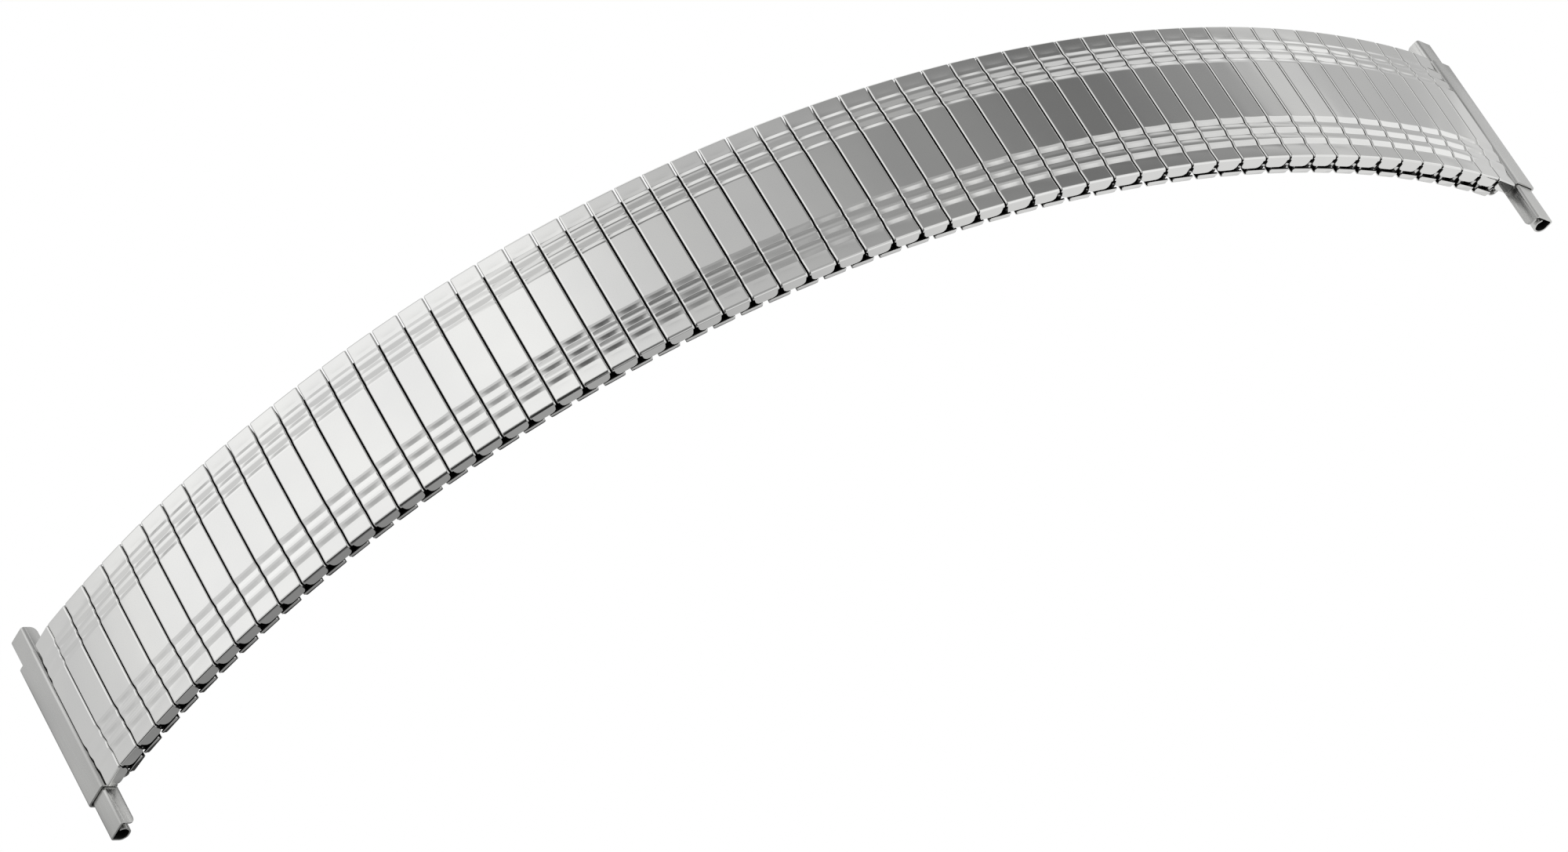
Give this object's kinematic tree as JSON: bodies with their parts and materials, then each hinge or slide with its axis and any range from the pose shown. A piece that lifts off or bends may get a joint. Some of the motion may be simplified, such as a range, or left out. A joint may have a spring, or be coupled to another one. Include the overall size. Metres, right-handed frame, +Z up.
{
  "type": "expansion watch band",
  "caption": "Expansion watch band of two rows of folded steel links joined by sprung bows, with telescoping end pieces for spring bars.",
  "frame": {"origin": "on the ground midway between the two ends of the standing arch, at the middle of the box in X and Y", "axes": "+X along the band from the left end of the picture to the right, +Y across it towards the far side, +Z up"},
  "size_m": [0.137, 0.022, 0.0328],
  "materials": {
    "polished_links": "highly polished stainless steel",
    "polished_sleeves": "polished stainless steel",
    "bows": "plain steel strip",
    "spring_steel": "hardened spring steel",
    "satin_ends": "satin stainless steel",
    "satin_slides": "satin stainless steel"
  },
  "bodies": {
    "segment_5": {"top_links_5": "polished_links", "bottom_sleeves_5": "polished_sleeves", "bows_5": "bows", "leaf_springs_5": "spring_steel"},
    "segment_1": {"top_links_1": "polished_links", "bottom_sleeves_1": "polished_sleeves", "bows_1": "bows", "leaf_springs_1": "spring_steel"},
    "segment_2": {"top_links_2": "polished_links", "bottom_sleeves_2": "polished_sleeves", "bows_2": "bows", "leaf_springs_2": "spring_steel"},
    "segment_3": {"top_links_3": "polished_links", "bottom_sleeves_3": "polished_sleeves", "bows_3": "bows", "leaf_springs_3": "spring_steel"},
    "segment_4": {"top_links_4": "polished_links", "bottom_sleeves_4": "polished_sleeves", "bows_4": "bows", "leaf_springs_4": "spring_steel"},
    "segment_6": {"top_links_6": "polished_links", "bottom_sleeves_6": "polished_sleeves", "bows_6": "bows", "leaf_springs_6": "spring_steel"},
    "segment_7": {"top_links_7": "polished_links", "bottom_sleeves_7": "polished_sleeves", "bows_7": "bows", "leaf_springs_7": "spring_steel"},
    "segment_8": {"top_links_8": "polished_links", "bottom_sleeves_8": "polished_sleeves", "bows_8": "bows", "leaf_springs_8": "spring_steel"},
    "segment_9": {"top_links_9": "polished_links", "bottom_sleeves_9": "polished_sleeves", "bows_9": "bows", "leaf_springs_9": "spring_steel"},
    "bridge_1": {"bridge_sleeve_1": "polished_sleeves", "bridge_bows_1": "bows"},
    "bridge_2": {"bridge_sleeve_2": "polished_sleeves", "bridge_bows_2": "bows"},
    "bridge_3": {"bridge_sleeve_3": "polished_sleeves", "bridge_bows_3": "bows"},
    "bridge_4": {"bridge_sleeve_4": "polished_sleeves", "bridge_bows_4": "bows"},
    "bridge_5": {"bridge_sleeve_5": "polished_sleeves", "bridge_bows_5": "bows"},
    "bridge_6": {"bridge_sleeve_6": "polished_sleeves", "bridge_bows_6": "bows"},
    "bridge_7": {"bridge_sleeve_7": "polished_sleeves", "bridge_bows_7": "bows"},
    "bridge_8": {"bridge_sleeve_8": "polished_sleeves", "bridge_bows_8": "bows"},
    "end_left": {"end_shell_left": "satin_ends", "end_bows_left": "bows"},
    "near_slide_left": {"near_slide_left": "satin_slides"},
    "far_slide_left": {"far_slide_left": "satin_slides"},
    "end_right": {"end_shell_right": "satin_ends", "end_bows_right": "bows"},
    "near_slide_right": {"near_slide_right": "satin_slides"},
    "far_slide_right": {"far_slide_right": "satin_slides"}
  },
  "joints": [
    {"name": "stretch_5", "type": "slide", "parent": "segment_5", "child": "bridge_5", "axis": [0.9975, 0, -0.0711], "range_m": [0, 0.0006], "stiffness_N_per_m": 200, "springref_m": -0.002},
    {"name": "flex_5", "type": "hinge", "parent": "bridge_5", "child": "segment_6", "pos_m": [0.00845, 0.00055, 0.03183], "axis": [0, 1, 0], "range_deg": [-11.7, 12]},
    {"name": "stretch_6", "type": "slide", "parent": "segment_6", "child": "bridge_6", "axis": [0.9637, 0, -0.267], "range_m": [0, 0.0006], "stiffness_N_per_m": 200, "springref_m": -0.002},
    {"name": "flex_6", "type": "hinge", "parent": "bridge_6", "child": "segment_7", "pos_m": [0.02617, 0.00055, 0.02833], "axis": [0, 1, 0], "range_deg": [-11.7, 12]},
    {"name": "stretch_7", "type": "slide", "parent": "segment_7", "child": "bridge_7", "axis": [0.9043, 0, -0.4268], "range_m": [0, 0.0006], "stiffness_N_per_m": 200, "springref_m": -0.002},
    {"name": "flex_7", "type": "hinge", "parent": "bridge_7", "child": "segment_8", "pos_m": [0.04055, 0.00055, 0.02258], "axis": [0, 1, 0], "range_deg": [-11.7, 12]},
    {"name": "stretch_8", "type": "slide", "parent": "segment_8", "child": "bridge_8", "axis": [0.802, 0, -0.5973], "range_m": [0, 0.0006], "stiffness_N_per_m": 200, "springref_m": -0.002},
    {"name": "flex_8", "type": "hinge", "parent": "bridge_8", "child": "segment_9", "pos_m": [0.0558, 0.00055, 0.01291], "axis": [0, 1, 0], "range_deg": [-11.7, 12]},
    {"name": "flex_4", "type": "hinge", "parent": "segment_5", "child": "bridge_4", "pos_m": [-0.00703, 0.00055, 0.03199], "axis": [0, -1, 0], "range_deg": [-11.7, 12]},
    {"name": "stretch_4", "type": "slide", "parent": "bridge_4", "child": "segment_4", "axis": [-0.995, 0, -0.0994], "range_m": [0, 0.0006], "stiffness_N_per_m": 200, "springref_m": -0.002},
    {"name": "flex_3", "type": "hinge", "parent": "segment_4", "child": "bridge_3", "pos_m": [-0.02481, 0.00055, 0.02885], "axis": [0, -1, 0], "range_deg": [-11.7, 12]},
    {"name": "stretch_3", "type": "slide", "parent": "bridge_3", "child": "segment_3", "axis": [-0.9557, 0, -0.2943], "range_m": [0, 0.0006], "stiffness_N_per_m": 200, "springref_m": -0.002},
    {"name": "flex_2", "type": "hinge", "parent": "segment_3", "child": "bridge_2", "pos_m": [-0.03931, 0.00055, 0.0234], "axis": [0, -1, 0], "range_deg": [-11.7, 12]},
    {"name": "stretch_2", "type": "slide", "parent": "bridge_2", "child": "segment_2", "axis": [-0.8918, 0, -0.4524], "range_m": [0, 0.0006], "stiffness_N_per_m": 200, "springref_m": -0.002},
    {"name": "flex_1", "type": "hinge", "parent": "segment_2", "child": "bridge_1", "pos_m": [-0.05475, 0.00055, 0.01405], "axis": [0, -1, 0], "range_deg": [-11.7, 12]},
    {"name": "stretch_1", "type": "slide", "parent": "bridge_1", "child": "segment_1", "axis": [-0.7847, 0, -0.6198], "range_m": [0, 0.0006], "stiffness_N_per_m": 200, "springref_m": -0.002},
    {"name": "end_flex_left", "type": "hinge", "parent": "segment_1", "child": "end_left", "pos_m": [-0.06604, 0.00055, 0.00363], "axis": [0, -1, 0], "range_deg": [-8, 4]},
    {"name": "near_slide_left", "type": "slide", "parent": "end_left", "child": "near_slide_left", "axis": [0, 1, 0], "range_m": [0, 0.00395]},
    {"name": "far_slide_left", "type": "slide", "parent": "end_left", "child": "far_slide_left", "axis": [0, -1, 0], "range_m": [0, 0.00285]},
    {"name": "end_flex_right", "type": "hinge", "parent": "segment_9", "child": "end_right", "pos_m": [0.06578, 0.00055, 0.00369], "axis": [0, 1, 0], "range_deg": [-8, 4]},
    {"name": "near_slide_right", "type": "slide", "parent": "end_right", "child": "near_slide_right", "axis": [0, 1, 0], "range_m": [0, 0.00395]},
    {"name": "far_slide_right", "type": "slide", "parent": "end_right", "child": "far_slide_right", "axis": [0, -1, 0], "range_m": [0, 0.00285]}
  ],
  "couplings": [
    {"joint": "stretch_1", "follows": "stretch_5", "ratio": 1},
    {"joint": "stretch_2", "follows": "stretch_5", "ratio": 1},
    {"joint": "stretch_3", "follows": "stretch_5", "ratio": 1},
    {"joint": "stretch_4", "follows": "stretch_5", "ratio": 1},
    {"joint": "stretch_6", "follows": "stretch_5", "ratio": 1},
    {"joint": "stretch_7", "follows": "stretch_5", "ratio": 1},
    {"joint": "stretch_8", "follows": "stretch_5", "ratio": 1}
  ]
}
